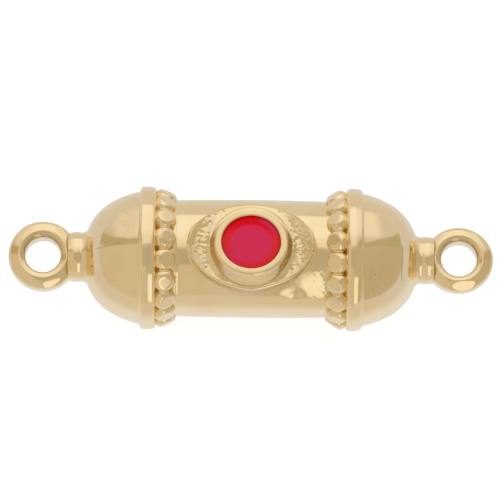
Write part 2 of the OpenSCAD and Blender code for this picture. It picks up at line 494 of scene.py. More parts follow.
# Pits of the plate's field: place along and across the tube, width and depth
PITS = (
    (-3.65, 0.68, 0.08, 0.07), (-3.18, 0.27, 0.07, 0.05), (-3.60, -0.08, 0.09, 0.05),
    (-3.10, 0.21, 0.08, 0.06), (-3.04, 0.09, 0.06, 0.05), (-3.27, -0.40, 0.07, 0.05),
    (-3.16, -0.47, 0.09, 0.06), (-3.05, -0.39, 0.06, 0.05), (-3.22, -0.58, 0.06, 0.04),
    (3.07, -0.49, 0.06, 0.05), (3.18, -0.43, 0.07, 0.06), (3.24, -0.30, 0.06, 0.04),
    (-3.10, -1.53, 0.08, 0.06), (-2.91, 2.06, 0.09, 0.05), (-2.50, 2.22, 0.09, 0.05),
    (-1.92, 2.50, 0.08, 0.05), (-2.84, 1.70, 0.10, 0.06), (-3.13, 1.40, 0.10, 0.06),
    (-3.28, 1.75, 0.09, 0.05), (3.24, 1.90, 0.08, 0.07), (3.53, 1.43, 0.08, 0.07),
    (3.53, 0.78, 0.10, 0.06), (4.00, 0.56, 0.07, 0.05), (3.58, 0.21, 0.08, 0.06),
    (3.98, -0.08, 0.06, 0.07), (3.10, -0.31, 0.07, 0.06), (3.71, -0.56, 0.07, 0.06),
    (3.56, -1.10, 0.07, 0.07), (2.80, -1.61, 0.09, 0.07), (3.22, -1.34, 0.07, 0.06),
    (1.95, 2.48, 0.08, 0.05),
)

# Plate's field: slope of its saucer and step down from the lip, place inside the outline and
# width of the border's wire, slope and width of the ledge under it, and the lip's own rise
SAUCER_SLOPE, LIP_STEP = 0.20, 0.09
WIRE_PLACE, WIRE_WIDTH = 0.045, 0.036
LEDGE_SLOPE, LEDGE_WIDTH = 0.26, 0.22
LIP_RISE = 0.015

# Steep wall of the plate from its border down to the tube: place outside the border before
# build_plate widens or narrows the wall, and height over the tube as a share of the border's
PLATE_WALL = (
    (0.010, 0.995), (0.022, 0.970), (0.034, 0.92), (0.046, 0.83), (0.058, 0.70), (0.070, 0.56),
    (0.082, 0.42), (0.096, 0.29), (0.114, 0.18), (0.138, 0.095), (0.170, 0.04), (0.210, 0.01),
    (0.260, -0.02),
)


def plate_outline(turns):
    """Distance of the plate's outline from its middle at each angle, the same on both sides.

    It is a sum of the first few waves round the plate that comes nearest to PLATE_OUTLINE.
    """
    table = np.array(PLATE_OUTLINE)
    points = np.vstack([table, table[1:-1] * [-1.0, 1.0]])
    angle = np.arctan2(points[:, 1], points[:, 0])
    reach = np.hypot(points[:, 0], points[:, 1])

    def waves(t):
        """Heights of the waves at the angles t."""
        return np.stack([f(k * t) for k in range(8) for f in (np.cos, np.sin)], axis=-1)

    weights = np.linalg.lstsq(waves(angle), reach, rcond=None)[0]
    return waves(turns) @ weights


# Small dents of the beaten field: how many, half the length and width of the ground that they
# are spread over, least and greatest width, and least and greatest height of one that is as
# wide as DENT_USUAL
DENTS = 1500
DENT_GROUND = np.array([4.4, 3.1])
DENT_WIDTH = (0.055, 0.13)
DENT_HEIGHT = (-0.032, 0.024)
DENT_USUAL = 0.12


def hammering(plan, inset):
    """Height and tarnish of the beaten and pitted field, strongest away from its border."""
    rng = np.random.default_rng(7)
    dents = rng.uniform(-DENT_GROUND, DENT_GROUND, size=(DENTS, 2))
    width = rng.uniform(*DENT_WIDTH, DENTS)
    height = rng.uniform(*DENT_HEIGHT, DENTS) * (width / DENT_USUAL)
    gap = np.hypot(plan[:, None, 0] - dents[:, 0], plan[:, None, 1] - dents[:, 1])
    beaten = (height * bump(gap, width)).sum(axis=1) * (0.2 + 0.8 * smooth_step(0.35, 0.8, inset))
    pit = np.zeros(len(plan))
    for x, y, pit_width, pit_depth in PITS:
        away = np.hypot(plan[:, 0] - x, plan[:, 1] - y)
        pit = np.maximum(pit, pit_depth * bump(away, pit_width * 0.7))
    return beaten - pit, 0.7 * smooth_step(0.02, 0.06, pit)


def build_plate(size):
    """Eye-shaped plate: a beaten arch that turns up to its border, and a lip round the bezel.

    The field turns up most at the corners of the eye and less at the rear left, and its border
    stands on a ledge in front.
    """
    turns = full_turn(900)
    unit = np.stack([np.cos(turns), np.sin(turns)], axis=-1)
    outline = plate_outline(turns)[:, None] * unit
    step = np.roll(outline, -1, axis=0) - np.roll(outline, 1, axis=0)
    away = np.stack([step[:, 1], -step[:, 0]], axis=-1)
    away /= np.linalg.norm(away, axis=-1, keepdims=True)
    reach = plate_outline(turns)
    lip = size["lip_radius"]
    inner = lip - 0.02

    # Room for the field on each line out from the middle, and how much it has of its forms
    room = reach - inner
    rear_left = smooth_step(0.35, 0.65, np.sin(turns)) * (np.cos(turns) < 0.0)
    wide = smooth_step(0.15, 0.9, room) * (1.0 - 0.7 * rear_left)
    knee = 0.82 + 0.14 * np.cos(turns)
    front = (1.0 - smooth_step(0.1, 0.8, room)) * smooth_step(0.0, 0.5, -np.sin(turns))
    rows, heights, marks = [], [], []

    def add_row(plan, height, mark=0.0):
        """Adds a ring of the plate with its height, and its tarnish and painted shade."""
        rows.append(plan)
        heights.append(height * np.ones(len(turns)))
        marks.append(mark * np.ones(len(turns)))

    def field(place):
        """Height of the field at a place along each line out from the middle.

        It is an arch, a saucer that rises to the border, a step down from the lip, the
        border's wire, its ledge in front and the lip itself.
        """
        across = place * unit[:, 1]
        inset = reach - place
        level = np.zeros_like(inset)
        arch = size["plate_height"] - across**2 / (2.0 * size["plate_arch"])
        saucer = SAUCER_SLOPE * wide * soft_max(knee - inset, level, 0.35)
        sunk = LIP_STEP * wide * smooth_step(0.0, 0.3, place - lip)
        wire = size["plate_border"] * bump(inset - WIRE_PLACE, WIRE_WIDTH)
        ledge = LEDGE_SLOPE * front * soft_max(LEDGE_WIDTH - inset, level, 0.06)
        return arch + saucer - sunk + wire + ledge + LIP_RISE * bump(place - lip + 0.06, 0.06)

    for place in (2.2, 2.3):
        add_row(unit * place, field(place * np.ones_like(turns)) - 0.5)
    for place in spread((2.36, 0.03), (lip - 0.16, 0.018), (inner, 0.0)):
        add_row(unit * place, field(place * np.ones_like(turns)))
    for share in spread((0.018, 0.018), (1.0, 0.0)):
        place = inner + room * share
        plan = unit * place[:, None]
        inset = room * (1.0 - share)
        clear = smooth_step(0.10, 0.24, inset) * smooth_step(0.0, 0.06, room * share)
        beaten, darkening = hammering(plan, inset)
        add_row(plan, field(place) + clear * beaten, clear * darkening)

    top = heights[-1]
    full = np.hypot(outline[:, 1], top) - tube_radius_at(outline[:, 0], size)
    facing = smooth_step(0.2, -0.3, np.sin(turns))
    widen = 0.34 + 0.28 * facing + 0.60 * smooth_step(0.34, 0.10, full)
    # Painted shade on the lower part of the front wall, where it runs down to the tube
    painted_wall_shade = 0.40 * smooth_step(0.15, 0.4, full) * facing
    for offset, share in PLATE_WALL:
        plan = outline + away * (offset * widen)[:, None]
        radius = tube_radius_at(plan[:, 0], size) + share * full
        height = np.sqrt(np.maximum(radius**2 - plan[:, 1] ** 2, 0.01))
        add_row(plan, height, painted_wall_shade * smooth_step(0.99, 0.85, share))
    for share in (0.96, 0.86):
        add_row(outline * share, top - 1.4)
    plan, height = np.array(rows), np.array(heights)
    rings = np.concatenate([plan, height[..., None]], axis=-1)
    add_piece(
        "eye_plate", rings, gold_plating(), CASTING, "joined", np.array(marks)
    )


# Shallow dents of the tube that catch the light: place along the tube, turn from the top in
# degrees, depth, and width along and round the tube
TUBE_DENTS = ((5.28, -44.5, 0.105, 1.35, 1.20), (3.02, -50.0, 0.048, 0.70, 0.50))

# Low ring round the tube beside the left bead row: place, width and height
TUBE_RING = (-5.30, 0.13, 0.05)

# How far the tube sinks where the plate covers it
TUBE_SUNK = 0.30


def build_tube(size):
    """Tube between the bead rows: a slow swell, shallow dents and rough patches by the beads.

    It sinks a little under the plate, so that it stays clear of the plate's beaten field.
    """
    x = spread((-6.55, 0.06), (6.55, 0.0))
    turns = full_turn(360)
    radius = tube_radius_at(x, size)[:, None] * np.ones_like(turns)
    rings = round_axis(x[:, None], radius, turns)
    swell = 0.006 * ripple(rings, wavelength=3.4, seed=3)
    wrapped = from_top(turns)
    for along, turn, depth, wide, high in TUBE_DENTS:
        side = radius * (wrapped - math.radians(turn))
        swell = swell - depth * bump(np.hypot((x[:, None] - along) / wide, side / high), 1.0)
    rough_right = smooth_step(4.0, 4.5, x)[:, None] * bump(wrapped + 0.72, 0.35)
    rough_left = 0.8 * smooth_step(-4.90, -5.10, x)[:, None]
    swell = swell + 0.0040 * (rough_right + rough_left) * ripple(rings, wavelength=0.30, seed=12)
    place, width, height = TUBE_RING
    swell = swell + height * bump(x[:, None] - place, width)
    across = radius * np.sin(turns)
    inset = plate_outline(np.arctan2(across, x[:, None])) - np.hypot(x[:, None], across)
    swell = swell - TUBE_SUNK * smooth_step(0.0, 0.2, inset) * (np.cos(turns) > 0.0)
    rings = round_axis(x[:, None], radius + swell, turns)
    add_piece("tube", rings, gold_plating(), CASTING, "capped")


# Rounded outer edge of the rim: place outside the flat, and drop
RIM_EDGE = (
    (0.0, 0.0), (0.014, 0.002), (0.027, 0.008), (0.045, 0.018), (0.066, 0.034), (0.084, 0.053),
    (0.097, 0.076), (0.105, 0.100), (0.110, 0.125),
)

# Bezel's wall from the rim's edge to its round foot: shares of the way out and of the way down
BEZEL_WALL = (
    (0.02, 0.06), (0.05, 0.13), (0.09, 0.20), (0.14, 0.28), (0.20, 0.37), (0.28, 0.47),
    (0.37, 0.56), (0.47, 0.65), (0.58, 0.74), (0.70, 0.82), (0.82, 0.89), (0.92, 0.945),
    (1.0, 0.98), (1.10, 1.03), (1.2, 1.15), (1.28, 1.5), (1.34, 2.2),
)

# Opening's side from the rim's flat down past the inlay: place inside the flat, and drop
BEZEL_INSIDE = (
    (0.0, 0.0), (0.012, 0.004), (0.021, 0.012), (0.028, 0.024), (0.036, 0.040), (0.044, 0.060),
    (0.050, 0.09), (0.055, 0.15), (0.058, 0.3), (0.058, 0.5), (0.058, 0.8), (0.058, 1.2),
    (0.058, 1.75),
)


def build_bezel(size):
    """Oval bezel with a narrow flat rim and a wall that flares out to a round foot.

    The wall is tucked in at the rear, straight in front, and has painted shade at the left and
    right.
    """
    turns = full_turn(480)
    edge = BEZEL_INSIDE[-1][0]
    inner, inward = oval_points(
        turns, size["opening_length"] / 2 + edge, size["opening_width"] / 2 + edge,
        size["opening_shift"],
    )
    rim_shift = 0.03
    outer, away = oval_points(turns, size["rim_length"] / 2, size["rim_width"] / 2, rim_shift)
    top = size["rim_height"]
    rows, marks = [], []

    def add_row(plan, height, mark=0.0):
        """Adds a ring of the bezel with its height, and its dark marks and painted shade."""
        heights = height * np.ones((len(turns), 1))
        rows.append(np.concatenate([plan, heights], axis=-1))
        marks.append(mark * np.ones(len(turns)))

    # How much each side of the oval is at the rear, tucked in, in front, and darkened by painted
    # shade
    rear = smooth_step(0.0, 0.6, np.sin(turns))
    tuck = (1.0 - 0.65 * smooth_step(0.1, 0.8, np.sin(turns)))[:, None]
    front = smooth_step(0.35, 0.85, -np.sin(turns))[:, None]
    # Painted shade, strongest at the left and right of the oval
    shade_and_dulling = (0.58 + 0.10 * np.cos(turns)) * np.cos(turns) ** 2
    # Painted shade in a thin line near the top of the opening's side at the rear, where the rim
    # shades the recess
    for offset, drop in reversed(BEZEL_INSIDE):
        add_row(inner - inward * offset, top - drop, 0.35 * rear * bump(drop - 0.012, 0.012))
    for share in (0.25, 0.5, 0.75):
        add_row(inner * (1.0 - share) + outer * share, top + 0.003)
    for offset, drop in RIM_EDGE:
        add_row(outer + away * offset, top - drop)
    side, below = outer + away * RIM_EDGE[-1][0], top - RIM_EDGE[-1][1]
    foot, _ = oval_points(turns, size["lip_radius"] - 0.04, size["lip_radius"] - 0.05)
    ground = size["plate_height"] - foot[:, 1:] ** 2 / (2.0 * size["plate_arch"])
    for out, down in BEZEL_WALL:
        crease = 0.20 * bump(down - 0.04, 0.05) * (1.0 - front[:, 0])
        # Painted shade on the left and right of the wall, from just under the rim down to the foot
        worn = shade_and_dulling * smooth_step(0.05, 0.20, down) * smooth_step(1.0, 0.9, down)
        height = below + (ground - below) * down
        flare = (out * (1.0 - front) + min(down, 1.0) ** 0.9 * max(out, 1.0) * front) * tuck
        # Darker towards the foot of the wall in front
        darkening = 0.10 * front[:, 0] * smooth_step(0.45, 0.75, down)
        add_row(side + (foot - side) * flare, height, np.maximum(np.maximum(crease, worn), darkening))
    add_row(side * 0.95, top - 1.9)
    rings = np.array(rows)
    swell = 0.006 * ripple(rings, wavelength=2.2, seed=11)
    usual_reach = 3.0
    rings[..., :2] *= 1.0 + (swell / usual_reach)[..., None]
    add_piece("bezel", rings, gold_plating(), CASTING, "joined", np.array(marks))


# Inlay's profile from the middle of its underside to the middle of its face: share of the
# way to its edge, and drop below the face
INLAY_PROFILE = (
    (0.02, 1.28), (0.5, 1.28), (0.97, 1.28), (0.995, 1.25), (1.0, 1.2), (1.0, 0.8),
    (1.0, 0.45), (1.0, 0.20), (1.0, -0.02), (0.999, -0.085), (0.995, -0.10), (0.990, -0.088),
    (0.982, -0.052), (0.972, -0.010), (0.960, 0.022), (0.94, 0.045), (0.91, 0.050), (0.86, 0.042),
    (0.82, 0.033), (0.78, 0.021), (0.74, 0.011), (0.70, 0.004), (0.64, 0.0), (0.5, 0.0),
    (0.35, 0.0), (0.2, 0.0), (0.02, 0.0),
)


def build_inlay(size):
    """Red inlay: a flat face, a shallow groove round it and a thin raised edge by the bezel."""
    turns = full_turn(240)
    gap = 0.006
    half = (size["opening_length"] / 2 - gap, size["opening_width"] / 2 - gap)
    face = size["rim_height"] - size["inlay_sink"]
    rows = []
    for reach, drop in INLAY_PROFILE:
        plan, _ = oval_points(turns, half[0] * reach, half[1] * reach, size["opening_shift"])
        rows.append(np.concatenate([plan, np.full((len(turns), 1), face - drop)], axis=-1))
    add_piece("inlay", np.array(rows), red_resin(), INLAY, "capped")


# Lean of a worn bead's top
WORN_LEAN = math.radians(13.0)

# Bead row: where its ring starts and ends beside the beads' middles, from the tube's side to
# the band's, and how far from the axis the metal between the beads lies on these two sides
ROW_START, ROW_END = -0.92, 0.62
TUBE_LEVEL, BAND_LEVEL = 3.90, 4.32


def build_bead_row(size, side, turn, more_lean, worn):
    """Row of overlapping beads whose flat tops lean towards the middle of the tube.

    turn is the first bead's place round the tube, and more_lean adds to the lean of all tops.
    worn is the number of a bead with a more level top, counted from the first.
    """
    count, ring, bead = size["bead_count"], size["bead_ring"], size["bead_radius"]
    rng = np.random.default_rng(21 + side)
    grow, lean_by, tip_by, lift, unevenness = rng.normal(0.0, 1.0, (5, count))
    turns = full_turn(count * 38)
    x = spread((ROW_START, 0.022), (ROW_END, 0.0))[:, None]
    pitch = 2.0 * math.pi / count
    which = np.round((turns - turn) / pitch).astype(int)
    ground = TUBE_LEVEL + (BAND_LEVEL - TUBE_LEVEL) * smooth_step(-0.15, 0.35, x)
    surface = ground * np.ones_like(turns)
    for near in (-1, 0, 1):
        index = (which + near) % count
        away = turns - turn - (which + near) * pitch
        radius = bead * (1.0 + 0.010 * grow[index])
        reach = radius**2 - x**2 - (ring * np.sin(away)) ** 2
        ball = np.where(reach > 0.0, ring * np.cos(away) + np.sqrt(np.maximum(reach, 0.0)), 0.0)
        lean = size["bead_lean"] + more_lean + 0.035 * lean_by[index]
        lean = np.where(index == worn % count, WORN_LEAN, lean)
        top = (size["bead_top"] + 0.012 * lift[index] + x * np.sin(lean)) / np.cos(lean)
        tip = 0.035 * tip_by[index] * ring * np.sin(away)
        flat = (ring + top + tip) / np.cos(away)
        shape = soft_min(ball, flat, blend=0.13)
        surface = soft_max(surface, np.where(ball > 0.0, shape, 0.0), blend=0.10)
    # Painted shade in the gaps between the beads, beside the band and beside the tube, stronger or
    # weaker at random from gap to gap
    between = smooth_step(0.36, 0.48, np.abs((turns - turn) / pitch - which))
    amount = np.clip(0.65 + 0.30 * unevenness[which % count], 0.3, 1.0)
    by_band = bump(x - 0.42, 0.13) * between * amount
    by_tube = 0.55 * bump(x + 0.62, 0.14) * between
    marks = np.maximum(by_band, by_tube)
    inside = np.full((1, len(turns)), 3.5)
    place = np.concatenate([x[:1], x, x[-1:]])
    radius = np.concatenate([inside, surface, inside])
    rings = round_axis(side * (size["bead_row"] + place), radius, turns)
    marks = np.concatenate([inside * 0.0, marks, inside * 0.0])
    if side < 0:
        rings, marks = outward(rings), outward(marks)
    name = "bead_row_right" if side > 0 else "bead_row_left"
    add_piece(name, rings, gold_plating(), CASTING, "joined", marks)


# The two arcs of a dome: where each is centred along and off the axis, and its radius. Then
# where along the tube they meet, and the tilt in degrees at which the second one ends
DOME_BROAD = (6.254, -2.289, 7.108)
DOME_TIGHT = (7.885, 0.569, 3.817)
DOME_CHANGE = 9.777
DOME_END_TILT = 69.0

# Where an end's mesh starts under the beads, and where its neck ends against the loop
END_START, NECK_END = 6.45, 12.80


def dome_radius(x):
    """Distance of the dome from the axis on its broad arc."""
    return DOME_BROAD[1] + math.sqrt(DOME_BROAD[2] ** 2 - (x - DOME_BROAD[0]) ** 2)


def end_profile(size, neck_crest, crest_shift, crest_radius):
    """Half outline of an end: the band, the dome in two arcs, its foot and the barrel neck.

    neck_crest is the place of the neck's fullest point. crest_shift is how far the band's
    crest lies towards the middle of the tube, and crest_radius is the crest's own radius.
    """
    place, half, rise = size["band_place"], size["band_half"], size["band_rise"]
    neck = size["neck_radius"]
    foot_line = BAND_RADIUS / MM - rise
    side = place - half
    points = [(END_START, 0.3), (END_START, 3.6), (side, 4.0), (side, foot_line - 0.1)]
    steep = 1.35
    for degrees in range(180, 9, -5):
        turn = math.radians(degrees)
        across = half * math.cos(turn)
        shoulder = steep * rise * math.sin(turn)
        crest = rise - (across + crest_shift) ** 2 / (2.0 * crest_radius)
        points.append((place + across, foot_line + float(soft_min(shoulder, crest, 0.06))))
    band_end = points[-1][0]
    for step in (0.008, 0.02, 0.035, 0.055, 0.085, 0.13):
        fillet = 0.02 * math.exp(-step / 0.02)
        points.append((band_end + step, dome_radius(band_end + step) + fillet))
    for x in spread((band_end + 0.19, 0.07), (DOME_CHANGE, 0.0)):
        points.append((x, dome_radius(x)))
    along, off, tight = DOME_TIGHT
    start, end = math.asin((DOME_CHANGE - along) / tight), math.radians(DOME_END_TILT)
    for i in range(1, 37):
        turn = start + (end - start) * i / 36
        points.append((along + tight * math.sin(turn), off + tight * math.cos(turn)))
    foot_x, foot_r = points[-1]
    foot = (foot_r - neck + 0.03) / (1.0 - math.cos(end))
    for i in range(1, 13):
        turn = end * (1.0 - i / 12)
        points.append((
            foot_x + foot * (math.sin(end) - math.sin(turn)),
            foot_r - foot * (math.cos(turn) - math.cos(end)),
        ))
    start, edge, barrel = points[-1][0], 0.09, 1.4
    for i in range(1, 14):
        x = start + (NECK_END - edge - start) * i / 13
        rounded = neck - (x - neck_crest) ** 2 / (2.0 * barrel)
        points.append((x, rounded + (points[-1][1] - rounded) * (0.5 if i == 1 else 0.0)))
    last = points[-1][1]
    for i in range(1, 9):
        turn = math.radians(90.0 * i / 8)
        points.append((
            NECK_END - edge + edge * math.sin(turn), last - edge * (1.0 - math.cos(turn))
        ))
    points += [(NECK_END, 1.2), (NECK_END, 0.3)]
    return np.array(points)


# Thin dark lines on the domes, right and left: the two ends of the line, each as a place along the
# tube and a turn from the top in degrees, its half width and its strength
DOME_LINES = {
    1: ((10.53, 4.0), (10.46, -38.0), 0.030, 0.55),
    -1: ((9.00, 0.5), (10.75, -1.5), 0.060, 0.30),
}

# Rougher patches of the domes, right and left: place along the tube, turn from the top in
# degrees, width along the tube, width round it in radians, and height of the roughness
ROUGH = {1: (8.45, -32.0, 0.45, 0.28, 0.0030), -1: (8.65, 26.0, 0.50, 0.26, 0.0040)}


def dome_line_marks(x, radius, turns, side):
    """How dark a dome's thin line is, 0 to 1."""
    (x0, turn0), (x1, turn1), width, strength = DOME_LINES[side]
    wrapped = from_top(turns)
    start = np.array([x0, math.radians(turn0)])
    line = np.array([x1, math.radians(turn1)]) - start

    # A turn counts as a length at the dome's usual radius
    usual_radius = 3.6
    scale = np.array([1.0, usual_radius])
    across = np.stack(np.broadcast_arrays(x - start[0], wrapped - start[1]), axis=-1) * scale
    line = line * scale
    share = np.clip((across @ line) / (line @ line), 0.0, 1.0)
    gap = np.linalg.norm(across - share[..., None] * line, axis=-1)
    return strength * bump(gap, width) * (radius > 2.0)


def build_end(size, side, neck_scale, neck_crest, crest_shift, crest_radius):
    """Band, dome and neck of one end. neck_scale makes the neck thicker or thinner."""
    profile = end_profile(size, neck_crest, crest_shift, crest_radius)
    turns = full_turn(420)
    x, radius = profile[:, :1], profile[:, 1:]
    scale = 1.0 + (neck_scale - 1.0) * smooth_step(11.3, 11.8, x)
    rings = round_axis(side * x, radius * scale, turns)
    on_dome = smooth_step(7.90, 8.4, x)
    on_band = smooth_step(6.7, 6.9, x) * smooth_step(7.85, 7.75, x)
    swell = (0.010 * on_dome + 0.004 * on_band) * ripple(rings, wavelength=3.2, seed=5)
    fine = (0.0020 * on_dome + 0.0008 * on_band) * ripple(rings, wavelength=1.1, seed=6)
    place, turn, wide, round_wide, height = ROUGH[side]
    wrapped = from_top(turns)
    patch = bump(x - place, wide) * bump(wrapped - math.radians(turn), round_wide)
    fine = fine + height * patch * on_dome * ripple(rings, wavelength=0.26, seed=14)
    rings = round_axis(side * x, radius * scale + swell + fine, turns)
    spots = 0.5 * patch * on_dome * smooth_step(0.5, 0.95, ripple(rings, wavelength=0.20, seed=15))
    crease = 0.45 * bump(x - (NECK_END - 0.01), 0.03)
    marks = crease + dome_line_marks(x, radius, turns, side) + spots
    if side < 0:
        rings, marks = outward(rings), outward(marks)
    name = "end_right" if side > 0 else "end_left"
    add_piece(name, rings, gold_plating(), CASTING, "capped", marks)


# Arcs of a loop's section from its outer side over the ridge to the hole: radius, and tilt
# from level in degrees where the arc starts and ends
LOOP_ARCS = (
    (0.50, 90.0, 38.0), (1.10, 38.0, 12.0), (0.25, 12.0, -12.0), (0.55, -12.0, -40.0),
    (0.30, -40.0, -90.0),
)


def loop_section(thickness):
    """Closed section of a loop: share of the way from the hole outwards, and height."""
    place, height, points = 0.0, 0.0, []
    for radius, start, end in LOOP_ARCS:
        for i in range(10):
            tilt, after = (math.radians(start + (end - start) * (i + k) / 10) for k in (0, 1))
            points.append((place, height))
            place += radius * (math.sin(tilt) - math.sin(after))
            height += radius * (math.cos(after) - math.cos(tilt))
    points.append((place, height))
    upper = np.array(points)
    share = 1.0 - upper[:, 0] / place
    level = upper[:, 1] + thickness / 2 - upper[:, 1].max()
    top = np.stack([share, level], axis=-1)
    return np.vstack([top, top[::-1] * [1.0, -1.0]])


def build_loop(size, side, half_length, half_width, facet_right, facet_front, facet_depth):
    """Loop with a round hole, a softly ridged section and one worn facet in front.

    half_length and half_width are its outer half sizes. The facet looks up, facet_right and
    facet_front degrees to the right and to the front, and takes facet_depth off the loop.
    """
    hole = size["hole_radius"]
    turns = full_turn(240)
    outer = np.hypot(half_length * np.cos(turns), half_width * np.sin(turns))
    centre = np.array([side * size["loop_place"], 0.0, 0.0])
    rows = []
    for share, height in loop_section(size["loop_thickness"]):
        radius = hole + (outer - hole) * share
        rows.append(np.stack([
            radius * np.cos(turns), radius * np.sin(turns), np.full(len(turns), height)
        ], axis=-1) + centre)
    rings = np.array(rows)[::-1]
    swell = 0.012 * ripple(rings, wavelength=2.6, seed=31)
    away = rings - centre
    keep = smooth_step(hole + 0.1, hole + 0.5, np.hypot(away[..., 0], away[..., 1]))
    usual_reach = 2.4
    away = away * (1.0 + (swell * keep / usual_reach)[..., None])
    facet = np.array([math.tan(math.radians(t)) for t in (facet_right, -facet_front)] + [1.0])
    facet /= np.linalg.norm(facet)
    local = (away * facet).sum(axis=-1)
    over = soft_max(local - (local.max() - facet_depth), np.zeros_like(local), 0.07)
    share = loop_section(size["loop_thickness"])[::-1, :1]
    rear = smooth_step(-0.3, 0.5, away[..., 1] / half_width)
    # Painted shade on the inner slope at the rear of the hole, on the loop's upper side
    marks = 0.40 * rear * bump(share - 0.10, 0.12) * smooth_step(-0.2, 0.2, away[..., 2])
    rings = centre + away - facet * over[..., None]
    name = "loop_right" if side > 0 else "loop_left"
    add_piece(name, rings, gold_plating(), CASTING, "joined", marks)


# Studio


def display(red, green, blue):
    """A display colour of 0 to 255 in linear light."""
    parts = [c / 255.0 for c in (red, green, blue)]
    return tuple(c / 12.92 if c <= 0.04045 else ((c + 0.055) / 1.055) ** 2.4 for c in parts)


# Soft cards of the light tent, as seen from the link, in degrees from the camera's side:
# left, right and softness of these edges, low edge and its softness, high edge and its
# softness, rise of the high edge for each degree away from the middle, and display colour
TENT_CARDS = (
    (-58, 54, 14, 34, 14, 97, 10, 0.0, (243, 241, 243)),
    (-64, -26, 12, 30, 10, 100, 10, 0.0, (230, 225, 222)),
    (-17, 17, 6, 21, 5, 98, 6, 0.0, (238, 233, 224)),
    (-22, 22, 7, 24, 32, 98, 6, 0.0, (253, 253, 255)),
    (-95, 2, 5, -86, 5, 25, 5, 0.0, (211, 203, 189)),
    (-2, 92, 5, -86, 5, 25, 5, 0.0, (194, 187, 171)),
    (-98, -48, 14, 25, 4, 34, 30, 0.50, (206, 197, 177)),
    (-98, -15, 4, 22, 4, 28, 4, 0.25, (188, 179, 152)),
    (13, 90, 4, 20, 4, 20, 4, 0.42, (187, 180, 157)),
    (-14, 14, 4, -15, 4, 20, 4, 0.0, (189, 183, 171)),
    (4, 27, 3, -78, 5, -25, 4, 0.0, (255, 254, 250)),
)
TENT_WALL = (217, 213, 212)
TENT_SIDE = (224, 218, 212)
TENT_SEEN = (244, 243, 243)

# Table under the link as its reflections show it: by the horizon in front, behind and at the
# sides, and further down in front and behind
TABLE_FRONT, TABLE_REAR, TABLE_SIDE = (218, 212, 206), (219, 216, 216), (216, 215, 224)
TABLE_DEEP_FRONT, TABLE_DEEP_REAR = (233, 237, 250), (223, 222, 228)


def tone(rgb):
    """A display colour as an opaque colour in linear light."""
    return opaque(display(*rgb))


def build_tent(elevation):
    """Light tent round the link, painted by direction, and plain pale where it is seen."""
    world = bpy.data.worlds.new("light_tent")
    world.use_nodes = True
    world.node_tree.nodes.clear()
    pen = NodePen(world.node_tree)
    heading = pen.add("ShaderNodeTexCoord").outputs["Generated"]
    towards = (0.0, -math.cos(elevation), math.sin(elevation))
    upwards = (0.0, math.sin(elevation), math.cos(elevation))
    ahead = pen.vector("DOT_PRODUCT", heading, towards, "Value")
    angle = pen.math("ARCCOSINE", pen.math("MINIMUM", pen.math("MAXIMUM", ahead, -1.0), 1.0))
    spin = pen.math("MAXIMUM", pen.math("SINE", angle), 1e-4)
    scale = pen.math("DIVIDE", pen.math("DEGREES", angle), spin)
    right = pen.math("MULTIPLY", pen.vector("DOT_PRODUCT", heading, (1, 0, 0), "Value"), scale)
    above = pen.math("MULTIPLY", pen.vector("DOT_PRODUCT", heading, upwards, "Value"), scale)
    sideways = pen.math("ABSOLUTE", right)
    light = pen.mix(pen.ramp(sideways, 92.0, 98.0), tone(TENT_WALL), tone(TENT_SIDE))
    for left, far, soft, low, low_soft, high, high_soft, rise, rgb in TENT_CARDS:
        across = pen.math(
            "MULTIPLY", pen.ramp(right, left, left + soft), pen.ramp(right, far, far - soft)
        )
        edge = pen.math("SUBTRACT", above, pen.math("MULTIPLY", sideways, rise))
        along = pen.math(
            "MULTIPLY", pen.ramp(above, low, low + low_soft), pen.ramp(edge, high, high - high_soft)
        )
        light = pen.mix(pen.math("MULTIPLY", across, along), light, tone(rgb))
    parts = pen.add("ShaderNodeSeparateXYZ", Vector=heading)
    rear = pen.ramp(parts.outputs["Y"], -0.35, 0.35)
    aside = pen.ramp(pen.math("ABSOLUTE", parts.outputs["X"]), 0.35, 0.85)
    near = pen.mix(aside, pen.mix(rear, tone(TABLE_FRONT), tone(TABLE_REAR)), tone(TABLE_SIDE))
    deep = pen.mix(rear, tone(TABLE_DEEP_FRONT), tone(TABLE_DEEP_REAR))
    down = pen.math("MULTIPLY", parts.outputs["Z"], -1.0)
    table = pen.mix(pen.ramp(down, 0.30, 0.80), near, deep)
    light = pen.mix(pen.ramp(down, 0.0, 0.03), light, table)
    seen = pen.add("ShaderNodeLightPath").outputs["Is Camera Ray"]
    light = pen.mix(seen, light, tone(TENT_SEEN))
    shader = pen.add("ShaderNodeBackground")
    pen.feed(shader.inputs["Color"], light)
    output = pen.add("ShaderNodeOutputWorld")
    pen.feed(output.inputs["Surface"], shader.outputs["Background"])
    bpy.context.scene.world = world


